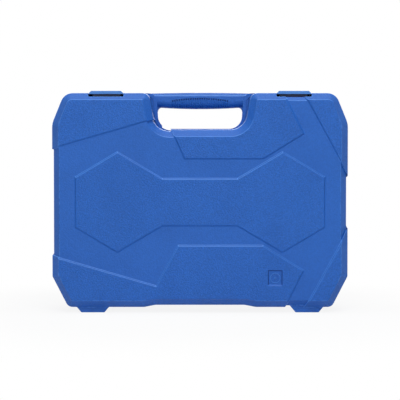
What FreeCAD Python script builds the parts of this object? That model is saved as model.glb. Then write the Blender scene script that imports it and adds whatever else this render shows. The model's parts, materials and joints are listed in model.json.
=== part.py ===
"""Socket wrench set in a moulded carry case, closed and standing on its feet.

Frame: X to the right, Y to the rear (the lid faces -Y), Z up, origin on the floor under the
middle of the closed case. Y is measured from the parting plane while the pieces are made, and
each piece is moved to the frame when it is written. All sizes are millimetres.
"""
import FreeCAD, Part
import math
import os
from FreeCAD import Rotation, Vector

X_AXIS = Vector(1, 0, 0)
Y_AXIS = Vector(0, 1, 0)
Z_AXIS = Vector(0, 0, 1)

# Case halves
CASE_HALF_W = 192.3
LID_DEPTH = 36.0
BASE_DEPTH = 50.0
LID = -1
BASE = 1
PARTING_GAP = 0.3
PARTING_Y = (LID_DEPTH - BASE_DEPTH) / 2
FOOT_H = 6.0
SHELL_TOP = 285.1
BEVEL_W = 10.0
BEVEL_H = 10.0
SIDE_DRAFT = 1.0
RELIEF = 2.0
RELIEF_SLOPE = 1.0
WALL = 2.4
STYLE_CENTRE_Z = 143.2

# Right half of the case outline, seen from the front: x, z and corner radius
ARCH_Z = 8.8
OUTLINE_SIDE = [
    (58.0, ARCH_Z, 20.0),
    (72.0, FOOT_H, 20.0),
    (171.5, FOOT_H, 10.0),
    (CASE_HALF_W, 46.5, 6.0),
    (CASE_HALF_W, 245.0, 30.0),
    (176.0, SHELL_TOP, 17.0),
]
NOTCH = {
    LID: [(65.5, SHELL_TOP, 11.0), (57.0, 237.7, 21.0)],
    BASE: [(57.2, SHELL_TOP, 11.0), (54.0, 238.6, 17.0)],
}

# Raised styling panels, x and height above the styling centre
PANEL_FAR = 200.0
PANEL_OUT = 240.0
BONE_PANEL = [
    (-160.5, -32.4), (-106.4, -64.5), (-48.5, -30.3), (48.5, -30.3), (106.4, -64.5), (160.5, -32.4),
    (160.5, 32.4), (106.4, 64.5), (48.5, 30.3), (-48.5, 30.3), (-106.4, 64.5), (-160.5, 32.4),
]
UPPER_LEFT_PANEL = [(-PANEL_OUT, 55.3), (-50.0, 110.2), (-50.0, PANEL_FAR), (-PANEL_OUT, PANEL_FAR)]
UPPER_PANEL = [
    (-19.8, 56.0), (81.2, 56.0), (133.6, 88.2), (77.4, PANEL_FAR), (-44.0, PANEL_FAR), (-44.0, 110.0),
]
UPPER_RIGHT_PANEL = [(210.8, 0.0), (260.0, 0.0), (260.0, PANEL_FAR), (101.3, PANEL_FAR)]
LOWER_PANEL = [
    (-PANEL_OUT, -PANEL_FAR), (77.4, -PANEL_FAR), (133.6, -88.2), (81.2, -56.0), (-28.0, -56.0),
    (-56.6, -108.3), (-PANEL_OUT, -55.3),
]
LOWER_RIGHT_PANEL = [(101.3, -PANEL_FAR), (260.0, -PANEL_FAR), (260.0, 0.0), (210.8, 0.0)]
PANELS = [BONE_PANEL, UPPER_LEFT_PANEL, UPPER_PANEL, UPPER_RIGHT_PANEL, LOWER_PANEL, LOWER_RIGHT_PANEL]
MARK_X, MARK_Z, MARK_W, MARK_H = 97.0, 45.5, 18.6, 20.0
MARK_DEPTH, MARK_SLOPE = 1.2, 1.0

# Hinge feet at the bottom edge
HINGE_X = 139.0
HINGE_Z = 2.8
HINGE_BARREL_R = 2.6
HINGE_PIN_R = 1.25
HINGE_PIN_LEN = 30.0
HINGE_RUN_GAP = 0.06
KNUCKLE_HALF = 6.0
KNUCKLE_SIDE_GAP = 0.3
FOOT_TOP_W = 40.0
FOOT_BOTTOM_W = 30.0
FOOT_ROOT = 4.0
FOOT_EDGE_R = 1.8
LID_FOOT_Y = (-26.0, -12.0)
BASE_FOOT_Y = (27.5, 39.5)

# Latches on the top edge
LATCH_X = 121.5
LATCH_W = 44.0
LATCH_TOP_Z = 287.0
LATCH_PLATE = 4.0
LATCH_FRONT_Y = -25.5
LATCH_AXIS_Y = 13.0
LATCH_AXIS_Z = 283.2
LATCH_BARREL_R = 3.0
LATCH_PIN_R = 1.25
RECESS_FLOOR_Z = 279.4
RECESS_SIDE_GAP = 0.5
RECESS_LID_Y = -40.0
RECESS_BASE_Y = 20.0
CATCH_Y = (-13.0, -9.5)
CATCH_TOP_Z = 282.4
HOOK_Y = (-16.6, -13.4)
HOOK_TIP_Z = 280.3

# Carry handle across the notch of the base half
HANDLE_FRONT_Y = 1.2
HANDLE_BACK_Y = 29.0
HANDLE_TOP_Z = 286.0
HANDLE_LOW_END_Z = 268.5
HANDLE_LOW_MID_Z = 265.0
HANDLE_HALF = 72.0
HANDLE_TOP_EDGE_R, HANDLE_LOW_EDGE_R = 5.0, 9.0
HOLE_CORNER_R, HOLE_CORNER_X, HOLE_CORNER_Z = 6.0, 55.8, 267.2
FLUTE_PITCH = 3.0
FLUTE_COUNT = 25
FLUTE_R, FLUTE_SINK, FLUTE_TURN = 1.1, 0.2, 70.0
FLUTE_TOP_MID_Z, FLUTE_TOP_DROP = 279.2, 3.0
CHEEK_X, CHEEK_BACK_Y = (50.0, 72.0), 14.0

# Inner walls
TRAY_Y = 27.0
SHEET = 1.8
TRAY_INSET = 5.6
POCKET_GAP = 0.4
BASE_INNER_Y = BASE_DEPTH - RELIEF - WALL
LID_INNER_Y = -(LID_DEPTH - RELIEF - WALL)
LINER_Y = -6.0
LINER_RIB_W = 7.0
HIGH_RIB, LOW_RIB = (165.0, 1.5), (104.0, 9.0)
LINER_RIBS = {40.0: HIGH_RIB, 84.0: HIGH_RIB, 140.0: HIGH_RIB, 190.0: HIGH_RIB, 215.5: LOW_RIB}
TACK_OFFS = [(-130.0, 62.0), (0.0, 62.0), (130.0, 62.0), (-130.0, 215.0), (0.0, 205.0), (130.0, 215.0)]
TACK_TIP_R, TACK_ROOT_R = 5.0, 9.0

# Drive squares
HALF_SQUARE = 12.7
QUARTER_SQUARE = 6.35
SQUARE_GAP = 0.2

# Sockets: height of the mouth, length, across-flats sizes, and each row's start, height and gap
HALF_LEN, QUARTER_LEN = 38.0, 25.0
HALF_TOP_Y = BASE_INNER_Y - SHEET - HALF_LEN
QUARTER_TOP_Y = 13.0
LARGE_HALF_SIZES = [21, 22, 24, 27, 30, 32]
SMALL_HALF_SIZES = [10, 12, 13, 14, 15, 17, 19]
QUARTER_SIZES = [6, 7, 8, 9, 10, 11, 12, 13, 14]
LARGE_HALF_ROW = (-158.0, 44.5, 8.0)
SMALL_HALF_ROW = (-168.0, 86.0, 8.0)
QUARTER_ROW = (-95.0, 215.5, 5.5)

# Tools that lie in the tray, with the depth of their axes
RATCHET_HALF_Y, LONG_TOOL_Y, SMALL_TOOL_Y = 18.0, 20.6, 24.5
RATCHET_HALF_AT = (-146.0, 126.0)
RATCHET_QUARTER_AT = (-156.0, 188.0)
RATCHET_QUARTER_SCALE = 0.6
EXTENSION_LONG = (-168.0, 162.0, 250.0)
EXTENSION_SHORT = (46.0, 86.0, 125.0)
EXTENSION_QUARTER = (-166.0, 250.0, 75.0)
SPARK_SIZES = {16: (96.0, 162.0), 21: (96.0, 126.0)}
SPARK_LEN = 65.0
SPINNER_AT = (-4.0, 188.0)
ADAPTER_AT = (88.0, 256.0)
BIT_BLOCK = (128.0, 44.5)
BIT_PITCH = 13.0
BIT_COLUMNS, BIT_ROWS = 5, 3
BIT_AF, BIT_LEN = 6.35, 28.0
BIT_FLOOR_Y = 36.0


def solid_of(shape):
    """The shape with its seams merged, as one solid where it is one."""
    shape = shape.removeSplitter()
    if len(shape.Solids) == 1:
        return shape.Solids[0]
    return Part.makeCompound(shape.Solids)


def box(x, y, z):
    """A block between two X, two Y and two Z values."""
    low = Vector(min(x), min(y), min(z))
    return Part.makeBox(max(x) - low.x, max(y) - low.y, max(z) - low.z, low)


def cylinder(start, axis, length, radius):
    """A rod from a point along an axis."""
    return Part.makeCylinder(radius, length, Vector(*start), axis)


def line_crossing(p, d, q, e):
    """Where the line through p along d meets the line through q along e."""
    cross = d[0] * e[1] - d[1] * e[0]
    t = ((q[0] - p[0]) * e[1] - (q[1] - p[1]) * e[0]) / cross
    return p[0] + d[0] * t, p[1] + d[1] * t


def offset_polygon(points, inset):
    """Corners of a counter-clockwise polygon with every side moved inwards."""
    lines = []
    for (x0, z0), (x1, z1) in zip(points, points[1:] + points[:1]):
        length = math.hypot(x1 - x0, z1 - z0)
        d = ((x1 - x0) / length, (z1 - z0) / length)
        lines.append(((x0 - d[1] * inset, z0 + d[0] * inset), d))
    return [line_crossing(*lines[i - 1], *lines[i]) for i in range(len(lines))]


def polygon_wire(points, y):
    """A closed straight-sided wire in the plane at y."""
    corners = [Vector(x, y, z) for x, z in points]
    return Part.makePolygon(corners + corners[:1])


def case_outline(side):
    """The whole outline of a case half as x, z and corner radius; the base's hand notch is the narrower."""
    right = OUTLINE_SIDE + NOTCH[side]
    return right + [(-x, z, r) for x, z, r in reversed(right)]


def rounded_wire(inset, y, side):
    """The case outline moved inwards by inset, in the plane at y, with every corner an arc."""
    outline = case_outline(side)
    corners = offset_polygon([(x, z) for x, z, _ in outline], inset)
    count = len(corners)
    arcs = []
    for i, corner in enumerate(corners):
        before, after = Vector(*corners[i - 1], 0), Vector(*corners[(i + 1) % count], 0)
        here = Vector(*corner, 0)
        d_in, d_out = (here - before).normalize(), (after - here).normalize()
        turn = math.atan2(d_in.cross(d_out).z, d_in.dot(d_out))
        radius = max(outline[i][2] - math.copysign(inset, turn), 0.8)
        reach = radius * math.tan(abs(turn) / 2)
        start, end = here - d_in * reach, here + d_out * reach
        bulge = radius / math.cos(turn / 2) - radius
        inward = (d_out - d_in).normalize()
        arcs.append((start, here + inward * bulge, end))
    edges = []
    for i, (start, middle, end) in enumerate(arcs):
        flat = [Vector(p.x, y, p.y) for p in (start, middle, end, arcs[(i + 1) % count][0])]
        edges.append(Part.Arc(*flat[:3]).toShape())
        edges.append(Part.LineSegment(flat[2], flat[3]).toShape())
    return Part.Wire(edges)


def half_body(side, depth, skin, start):
    """One case half as a solid, every face moved inwards by skin, from y = side * start."""
    return Part.makeLoft([
        rounded_wire(skin, side * start, side),
        rounded_wire(SIDE_DRAFT + skin, side * (depth - BEVEL_H - 0.38 * skin), side),
        rounded_wire(BEVEL_W + 0.45 * skin, side * (depth - skin), side),
    ], True, True)


def slab(inset, y0, y1):
    """A plate of the lid's outline between two Y values."""
    return Part.makeLoft([rounded_wire(inset, y0, LID), rounded_wire(inset, y1, LID)], True, True)


def panel_block(points, side, depth):
    """A styling panel as a block with sloped edges where it leaves the half's outer face."""
    raised = [(x, z + STYLE_CENTRE_Z) for x, z in points]
    grown, shrunk = offset_polygon(raised, -RELIEF_SLOPE), offset_polygon(raised, RELIEF_SLOPE)
    return Part.makeLoft([
        polygon_wire(grown, -side),
        polygon_wire(grown, side * (depth - RELIEF)),
        polygon_wire(shrunk, side * depth),
        polygon_wire(shrunk, side * (depth + 2.0)),
    ], True, True)


def styled_half(side, depth):
    """A thin-walled case half with the raised panels of both case faces."""
    start = PARTING_GAP / 2
    full = half_body(side, depth, 0.0, start)
    body = half_body(side, depth, RELIEF, start)
    for points in PANELS:
        body = body.fuse(full.common(panel_block(points, side, depth)))
    return body


def half_cavity(side, depth):
    """The space inside a case half, open at the parting plane."""
    return half_body(side, depth, RELIEF + WALL, -1.0)


def foot(x, y):
    """A foot with sloped ends, between two Y values."""
    top, bottom = FOOT_TOP_W / 2, FOOT_BOTTOM_W / 2
    root = FOOT_H + FOOT_ROOT
    spread = top + (top - bottom) * FOOT_ROOT / FOOT_H
    points = [(x - bottom, 0.0), (x + bottom, 0.0), (x + spread, root), (x - spread, root)]
    block = Part.Face(polygon_wire(points, y[0])).extrude(Vector(0, y[1] - y[0], 0))
    ends = [e for e in block.Edges if e.CenterOfMass.z < 0.1 and abs(e.CenterOfMass.x - x) > bottom - 1]
    return block.makeFillet(FOOT_EDGE_R, ends)


def knuckle(x0, x1, side):
    """A hinge knuckle on the bottom edge: barrel and the arm that carries it."""
    barrel = cylinder((x0, 0, HINGE_Z), X_AXIS, x1 - x0, HINGE_BARREL_R)
    arm = box((x0, x1), (side * PARTING_GAP / 2, side * 3.4), (HINGE_Z, FOOT_H + FOOT_ROOT))
    return barrel.fuse(arm)


def hinge_bore(x0, x1, radius):
    """The hole for a hinge pin."""
    return cylinder((x0 - 1, 0, HINGE_Z), X_AXIS, x1 - x0 + 2, radius)


def recess(x, y, grow=0.0):
    """The pocket in the top edge that a latch lies in."""
    half = LATCH_W / 2 + RECESS_SIDE_GAP + grow
    return box((x - half, x + half), y, (RECESS_FLOOR_Z - grow, LATCH_TOP_Z + 5))


def make_lid_shell():
    """Front half: styled shell, latch recesses with their catches, feet and middle knuckles."""
    shell = styled_half(LID, LID_DEPTH)
    cavity = half_cavity(LID, LID_DEPTH)
    for x in (-LATCH_X, LATCH_X):
        cavity = cavity.cut(recess(x, (RECESS_LID_Y, 2), WALL))
    shell = shell.cut(cavity)
    for x in (-LATCH_X, LATCH_X):
        shell = shell.cut(recess(x, (RECESS_LID_Y, 2)))
        half = LATCH_W / 2 - 4.0
        shell = shell.fuse(box((x - half, x + half), CATCH_Y, (RECESS_FLOOR_Z - 0.5, CATCH_TOP_Z)))
    for x in (-HINGE_X, HINGE_X):
        shell = shell.fuse(foot(x, LID_FOOT_Y))
        shell = shell.fuse(knuckle(x - KNUCKLE_HALF, x + KNUCKLE_HALF, LID))
        bore = hinge_bore(x - KNUCKLE_HALF, x + KNUCKLE_HALF, HINGE_PIN_R + HINGE_RUN_GAP)
        shell = shell.cut(bore)
    half_w, half_h = MARK_W / 2, MARK_H / 2
    square_mark = [(-half_w, -half_h), (half_w, -half_h), (half_w, half_h), (-half_w, half_h)]
    mouth = [(MARK_X + x, MARK_Z + z) for x, z in square_mark]
    mark = Part.makeLoft([
        polygon_wire(mouth, -LID_DEPTH - 1),
        polygon_wire(mouth, -LID_DEPTH),
        polygon_wire(offset_polygon(mouth, MARK_SLOPE), -LID_DEPTH + MARK_DEPTH),
    ], True, True)
    return solid_of(shell.cut(mark))


def belly_z(x):
    """Height of the handle's underside at a place along it."""
    return HANDLE_LOW_MID_Z + (HANDLE_LOW_END_Z - HANDLE_LOW_MID_Z) * (x / HANDLE_HALF) ** 2


def flute(x, top):
    """A finger flute: straight down the handle's front face, then round its lower edge."""
    y, r = HANDLE_FRONT_Y + FLUTE_SINK, HANDLE_LOW_EDGE_R
    turn_z = belly_z(x) + r
    mouth = Part.Face(Part.Wire(Part.makeCircle(FLUTE_R, Vector(x, y, turn_z), Z_AXIS)))
    straight = mouth.extrude(Vector(0, 0, top - turn_z))
    return straight.fuse(mouth.revolve(Vector(x, y + r, turn_z), X_AXIS, FLUTE_TURN))


def handle_bar():
    """The carry handle: a rounded bar with a bellied underside."""
    low_end, low_mid = HANDLE_LOW_END_Z, HANDLE_LOW_MID_Z
    y = HANDLE_FRONT_Y
    belly = Part.Arc(Vector(HANDLE_HALF, y, low_end), Vector(0, y, low_mid), Vector(-HANDLE_HALF, y, low_end))
    corners = [
        Vector(-HANDLE_HALF, y, low_end), Vector(-HANDLE_HALF, y, HANDLE_TOP_Z - 1.0),
        Vector(HANDLE_HALF, y, HANDLE_TOP_Z - 1.0), Vector(HANDLE_HALF, y, low_end),
    ]
    crown = Part.Arc(corners[1], Vector(0, y, HANDLE_TOP_Z), corners[2])
    face = Part.Face(Part.Wire([
        belly.toShape(), Part.LineSegment(corners[0], corners[1]).toShape(),
        crown.toShape(), Part.LineSegment(corners[2], corners[3]).toShape(),
    ]))
    bar = face.extrude(Vector(0, HANDLE_BACK_Y - y, 0))
    for radius, low, high in ((HANDLE_LOW_EDGE_R, 260, 272), (HANDLE_TOP_EDGE_R, 280, 290)):
        long_edges = [e for e in bar.Edges if e.Length > HANDLE_HALF * 1.5 and low < e.CenterOfMass.z < high]
        bar = bar.makeFillet(radius, long_edges)
    for side in (-1, 1):
        x, z = side * (HOLE_CORNER_X - HOLE_CORNER_R), HOLE_CORNER_Z - HOLE_CORNER_R
        depth = (y + HOLE_CORNER_R, HANDLE_BACK_Y - HOLE_CORNER_R)
        corner = box(sorted((x, side * (HOLE_CORNER_X + 2))), depth, (z, HOLE_CORNER_Z + 5))
        corner = corner.cut(cylinder((x, 0, z), Y_AXIS, HANDLE_BACK_Y, HOLE_CORNER_R))
        bar = bar.fuse(corner)
    return bar


def handle_flutes():
    """The finger flutes of the handle's front, their tops along an arch."""
    flutes = []
    for i in range(FLUTE_COUNT):
        reach = 2 * i / (FLUTE_COUNT - 1) - 1
        x = reach * FLUTE_PITCH * (FLUTE_COUNT - 1) / 2
        flutes.append(flute(x, FLUTE_TOP_MID_Z - FLUTE_TOP_DROP * reach ** 2))
    return flutes


def handle_cheek(side):
    """The solid root of the handle at one side of the notch."""
    low_z = NOTCH[BASE][1][1]
    x = sorted(side * edge for edge in CHEEK_X)
    root = box(x, (HANDLE_FRONT_Y, CHEEK_BACK_Y), (low_z, SHELL_TOP + 1))
    return root.common(half_body(BASE, BASE_DEPTH, 0.0, PARTING_GAP / 2))


def make_base_shell():
    """Rear half: styled shell with the handle, latch recesses with pin holes, feet and outer knuckles."""
    shell = styled_half(BASE, BASE_DEPTH)
    cavity = half_cavity(BASE, BASE_DEPTH)
    for x in (-LATCH_X, LATCH_X):
        cavity = cavity.cut(recess(x, (-2, RECESS_BASE_Y + WALL), WALL))
    shell = shell.cut(cavity)
    half_pin = LATCH_W / 2 + RECESS_SIDE_GAP + WALL
    for x in (-LATCH_X, LATCH_X):
        shell = shell.cut(recess(x, (-2, RECESS_BASE_Y)))
        left_end = (x - half_pin, LATCH_AXIS_Y, LATCH_AXIS_Z)
        shell = shell.cut(cylinder(left_end, X_AXIS, 2 * half_pin, LATCH_PIN_R))
    bar = handle_bar().cut(half_cavity(BASE, BASE_DEPTH))
    shell = shell.fuse(bar)
    for side in (-1, 1):
        shell = shell.fuse(handle_cheek(side))
    gap = KNUCKLE_HALF + KNUCKLE_SIDE_GAP
    for x in (-HINGE_X, HINGE_X):
        shell = shell.fuse(foot(x, BASE_FOOT_Y))
        for x0, x1 in ((x - HINGE_PIN_LEN / 2, x - gap), (x + gap, x + HINGE_PIN_LEN / 2)):
            shell = shell.fuse(knuckle(x0, x1, BASE))
            shell = shell.cut(hinge_bore(x0, x1, HINGE_PIN_R))
    return solid_of(shell.cut(handle_flutes()))


def make_hinge_pin(x):
    """A steel hinge pin through the three knuckles of one foot."""
    return cylinder((x - HINGE_PIN_LEN / 2, 0, HINGE_Z), X_AXIS, HINGE_PIN_LEN, HINGE_PIN_R)


def make_latch(x):
    """A latch plate with its barrel at the rear, a hook under it and a lifted finger tab in front."""
    half = LATCH_W / 2
    under = LATCH_TOP_Z - LATCH_PLATE
    plate = box((x - half, x + half), (LATCH_FRONT_Y, LATCH_AXIS_Y), (under, LATCH_TOP_Z))
    upper = [e for e in plate.Edges if e.CenterOfMass.z > under + 1]
    slopes = [e for e in upper if abs(e.tangentAt(e.FirstParameter).y) > 0.9]
    plate = plate.makeChamfer(2.6, slopes)
    barrel = cylinder((x - half, LATCH_AXIS_Y, LATCH_AXIS_Z), X_AXIS, LATCH_W, LATCH_BARREL_R)
    nose = box((x - half, x + half), (LATCH_AXIS_Y - 2.0, LATCH_AXIS_Y + 4.0), (under - 3, LATCH_TOP_Z + 1))
    plate = plate.cut(nose).fuse(barrel)
    web = box((x - half, x + half), (LATCH_AXIS_Y - 4.0, LATCH_AXIS_Y), (under, LATCH_AXIS_Z + 2.2))
    hook = box((x - half + 4, x + half - 4), HOOK_Y, (HOOK_TIP_Z, under + 0.5))
    body = plate.fuse(web).fuse(hook)
    left_end = (x - half - 1, LATCH_AXIS_Y, LATCH_AXIS_Z)
    bore = cylinder(left_end, X_AXIS, LATCH_W + 2, LATCH_PIN_R + HINGE_RUN_GAP)
    return solid_of(body.cut(bore))


def make_latch_pin(x):
    """The steel pin that a latch swings on, held in the recess's side walls."""
    half = LATCH_W / 2 + RECESS_SIDE_GAP + WALL
    return cylinder((x - half, LATCH_AXIS_Y, LATCH_AXIS_Z), X_AXIS, 2 * half, LATCH_PIN_R)


def make_lid_liner():
    """The lid's inner wall: a plate on tack-offs from the front wall, with ribs that hold the tools down."""
    liner = slab(TRAY_INSET, LINER_Y, LINER_Y - SHEET)
    for x in (-LATCH_X, LATCH_X):
        liner = liner.cut(recess(x, (RECESS_LID_Y, 2), WALL + 0.3))
    for z, (half, top_y) in LINER_RIBS.items():
        rib = box((-half, half), (LINER_Y - SHEET, top_y), (z - LINER_RIB_W / 2, z + LINER_RIB_W / 2))
        crest = [e for e in rib.Edges if e.Length > half and e.CenterOfMass.y > 0]
        liner = liner.fuse(rib.makeFillet(LINER_RIB_W * 0.4, crest))
    for x, z in TACK_OFFS:
        length = LINER_Y - SHEET / 2 - LID_INNER_Y
        cone = Part.makeCone(TACK_TIP_R, TACK_ROOT_R, length, Vector(x, LID_INNER_Y, z), Y_AXIS)
        liner = liner.fuse(cone)
    return solid_of(liner)


def stand_up(shape, x, y, z):
    """Turns a tool modelled upright on Z so that it points out of the tray, with its foot at a point."""
    turned = shape.copy()
    turned.rotate(Vector(), X_AXIS, 90)
    turned.translate(Vector(x, y, z))
    return turned


def hexagon(across_flats, z0, length):
    """A hexagonal prism on Z."""
    radius = across_flats / math.sqrt(3)
    angles = [math.pi * i / 3 for i in range(7)]
    corners = [Vector(radius * math.cos(a), radius * math.sin(a), z0) for a in angles]
    return Part.Face(Part.makePolygon(corners)).extrude(Vector(0, 0, length))


def square(side, z0, length):
    """A square prism on Z."""
    return Part.makeBox(side, side, length, Vector(-side / 2, -side / 2, z0))


def turned(profile):
    """A solid of revolution about Z from (radius, z) points."""
    wire = Part.makePolygon([Vector(r, 0, z) for r, z in profile + profile[:1]])
    return Part.Face(wire).revolve(Vector(), Z_AXIS, 360)


def mouth_radius(size, quarter):
    """Outer radius of a socket at its hexagon end."""
    return (1.35 * size + 2.2) / 2 if quarter else (1.3 * size + 1.0) / 2


def socket_radius(size, quarter):
    """Largest outer radius of a socket."""
    return max(mouth_radius(size, quarter), 6.2 if quarter else 11.0)


def make_socket(size, quarter):
    """A six-point socket upright on its drive end: stepped outside, hexagon above, drive square below."""
    length = QUARTER_LEN if quarter else HALF_LEN
    mouth = mouth_radius(size, quarter)
    drive = 6.2 if quarter else 11.0
    if mouth > drive:
        drive = max(drive, mouth - 2.0)
    soft = 0.6
    step = length * 0.42
    body = turned([
        (0, 0), (drive - soft, 0), (drive, soft), (drive, step), (mouth, step + abs(mouth - drive) + 1.0),
        (mouth, length - soft), (mouth - soft, length), (0, length),
    ])
    depth = min(0.55 * length, 0.8 * size + 4.0)
    bore = min(size * 0.42, drive - 2.0)
    drive_side = QUARTER_SQUARE if quarter else HALF_SQUARE
    body = body.cut(hexagon(size, length - depth, depth + 1))
    body = body.cut(Part.makeCylinder(bore, length, Vector(0, 0, drive_side * 1.2)))
    return solid_of(body.cut(square(drive_side + SQUARE_GAP, -1, drive_side * 1.2 + 2)))


def socket_foot(quarter):
    """The Y that a standing socket's drive end rests at."""
    return QUARTER_TOP_Y + QUARTER_LEN if quarter else HALF_TOP_Y + HALF_LEN


def row_places(sizes, row, quarter):
    """Where each socket of a row stands, from the row's left end."""
    x, z, gap = row
    places = []
    for size in sizes:
        radius = socket_radius(size, quarter)
        places.append((size, x + radius, z, radius))
        x += 2 * radius + gap
    return places


def cup(x, z, radius, floor_y):
    """A round pocket: the space for the tool and the sheet around it."""
    inner = cylinder((x, TRAY_Y - 1, z), Y_AXIS, floor_y - TRAY_Y + 1, radius + POCKET_GAP)
    outer = cylinder((x, TRAY_Y, z), Y_AXIS, floor_y + SHEET - TRAY_Y, radius + POCKET_GAP + SHEET)
    return inner, outer


def trough(x0, x1, z, radius, axis_y):
    """A round-bottomed pocket for a tool that lies along X, with the sheet around it."""
    rods = []
    for grow in (POCKET_GAP, POCKET_GAP + SHEET):
        rods.append(cylinder((x0 - grow, axis_y, z), X_AXIS, x1 - x0 + 2 * grow, radius + grow))
    behind = box((x0 - 10, x1 + 10), (TRAY_Y, TRAY_Y + 60), (z - 60, z + 60))
    return rods[0], rods[1].common(behind)


def pear(radius, reach, tail, z0, z1):
    """A ratchet head's outline: a round head drawn out to a smaller round towards the handle."""
    head = Part.makeCylinder(radius, z1 - z0, Vector(0, 0, z0))
    end = Part.makeCylinder(tail, z1 - z0, Vector(reach, 0, z0))
    lean = math.asin((radius - tail) / reach)
    c, s = math.cos(lean), math.sin(lean)
    corners = [
        Vector(radius * s, radius * c, z0), Vector(reach + tail * s, tail * c, z0),
        Vector(reach + tail * s, -tail * c, z0), Vector(radius * s, -radius * c, z0),
    ]
    web = Part.Face(Part.makePolygon(corners + corners[:1])).extrude(Vector(0, 0, z1 - z0))
    return head.fuse(end).fuse(web).removeSplitter()


# Ratchet, modelled flat with its drive on Z and its handle along X, at half-inch size
HEAD_R, HEAD_REACH, HEAD_TAIL, HEAD_H = 20.0, 21.0, 13.5, 18.0
GEAR_R, GEAR_ROOT_R, GEAR_TEETH = 13.6, 12.4, 24
GEAR_Z = (3.2, 13.6)
CAVITY_Z = (2.0, 14.0)
COVER_INSET, COVER_T = 2.0, 2.0
PAWL_X, PAWL_SWING, PAWL_STEPS = 20.5, 12.0, 6
PAWL_ROOM_HALF, PAWL_TIP_ROOM_HALF, PAWL_TIP_X = 8.6, 10.4, 18.0
SELECTOR_REST = 18.0
SHANK_R, SHANK_END, TANG_R, TANG_END = 7.0, 112.0, 5.2, 212.0
GRIP_START, GRIP_END, GRIP_R = 112.0, 226.0, 14.0
SCREW_PLACES = [(29.2, 3.5), (29.2, -3.5), (-16.0, 0.0)]
HEAD_R_SCREW, SHANK_R_SCREW, SCREW_GAP = 1.8, 1.0, 0.05


def gear_shape(grow, z0, z1):
    """A fine-toothed wheel on Z, every face moved outwards by grow."""
    tip, root = GEAR_R + grow, GEAR_ROOT_R + grow
    pitch = 2 * math.pi / GEAR_TEETH
    points = []
    for i in range(GEAR_TEETH):
        for turn, radius in ((-0.30, root), (-0.10, tip), (0.10, tip), (0.30, root)):
            a = (i + turn) * pitch
            points.append(Vector(radius * math.cos(a), radius * math.sin(a), z0))
    return Part.Face(Part.makePolygon(points + points[:1])).extrude(Vector(0, 0, z1 - z0))


def ratchet_handle():
    """Forged head and shank: pear head with the gear well, the pawl pocket and the tang for the grip."""
    middle = HEAD_H / 2
    body = pear(HEAD_R, HEAD_REACH, HEAD_TAIL, 0, HEAD_H)
    rim = [e for e in body.Edges if e.BoundBox.ZMin > HEAD_H - 0.01]
    body = body.makeChamfer(1.6, rim)
    neck = Part.makeCone(HEAD_TAIL * 0.62, SHANK_R, 30, Vector(HEAD_REACH + 6, 0, middle), X_AXIS)
    shank = cylinder((HEAD_REACH + 36, 0, middle), X_AXIS, SHANK_END - HEAD_REACH - 36, SHANK_R)
    tang = cylinder((SHANK_END, 0, middle), X_AXIS, TANG_END - SHANK_END, TANG_R)
    body = body.fuse(neck).fuse(shank).fuse(tang)
    well_depth = CAVITY_Z[1] - CAVITY_Z[0] + 1
    body = body.cut(Part.makeCylinder(GEAR_R + 0.4, well_depth, Vector(0, 0, CAVITY_Z[0] - 1)))
    for x1, half in ((26.2, PAWL_ROOM_HALF), (PAWL_TIP_X, PAWL_TIP_ROOM_HALF)):
        body = body.cut(box((9, x1), (-half, half), (CAVITY_Z[0] - 1, CAVITY_Z[1])))
    body = body.cut(pear(HEAD_R - COVER_INSET, HEAD_REACH, HEAD_TAIL - COVER_INSET, -1, COVER_T))
    body = body.cut(Part.makeCylinder(6.5, 10, Vector(0, 0, CAVITY_Z[1] - 1)))
    body = body.cut(Part.makeCylinder(3.1, 10, Vector(PAWL_X, 0, CAVITY_Z[1] - 1)))
    for x, y in SCREW_PLACES:
        body = body.cut(Part.makeCylinder(SHANK_R_SCREW + SCREW_GAP, 8, Vector(x, y, 0)))
    return solid_of(body)


def ratchet_cover():
    """Plate that closes the gear well, with a round hole for the drive."""
    plate = pear(HEAD_R - COVER_INSET - 0.1, HEAD_REACH, HEAD_TAIL - COVER_INSET - 0.1, 0, COVER_T)
    plate = plate.cut(Part.makeCylinder(10.0, 5, Vector(0, 0, -1)))
    for x, y in SCREW_PLACES:
        plate = plate.cut(Part.makeCylinder(HEAD_R_SCREW + SCREW_GAP, 1.2, Vector(x, y, 0)))
        plate = plate.cut(Part.makeCylinder(SHANK_R_SCREW + SCREW_GAP, 5, Vector(x, y, -1)))
    return solid_of(plate)


def ratchet_screws():
    """The cover's screws, heads flush with the plate."""
    screws = []
    for x, y in SCREW_PLACES:
        head = Part.makeCylinder(HEAD_R_SCREW, 1.2, Vector(x, y, 0))
        shank = Part.makeCylinder(SHANK_R_SCREW, 6.5, Vector(x, y, 1.2))
        screws.append(solid_of(head.fuse(shank)))
    return Part.makeCompound(screws)


def ratchet_drive(side):
    """The toothed drive wheel with its square and the sleeve that the release button runs in."""
    wheel = gear_shape(0.0, *GEAR_Z)
    wheel = wheel.fuse(Part.makeCylinder(9.7, GEAR_Z[0], Vector()))
    stub = square(side, -15.0, 15.5)
    tips = [e for e in stub.Edges if e.CenterOfMass.z < -14.9]
    wheel = wheel.fuse(stub.makeChamfer(1.2, tips))
    wheel = wheel.fuse(Part.makeCylinder(6.2, HEAD_H - GEAR_Z[1] + 0.4, Vector(0, 0, GEAR_Z[1])))
    wheel = wheel.cut(Part.makeCylinder(5.0, 10, Vector(0, 0, 12.5)))
    return solid_of(wheel.cut(Part.makeCylinder(2.1, 30, Vector(0, 0, -8))))


def ratchet_button():
    """The release button on its rod."""
    cap = turned([(0, 15.5), (4.8, 15.5), (4.8, 19.2), (4.2, 20.0), (0, 20.0)])
    return solid_of(cap.fuse(Part.makeCylinder(1.9, 20, Vector(0, 0, -4))))


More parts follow.
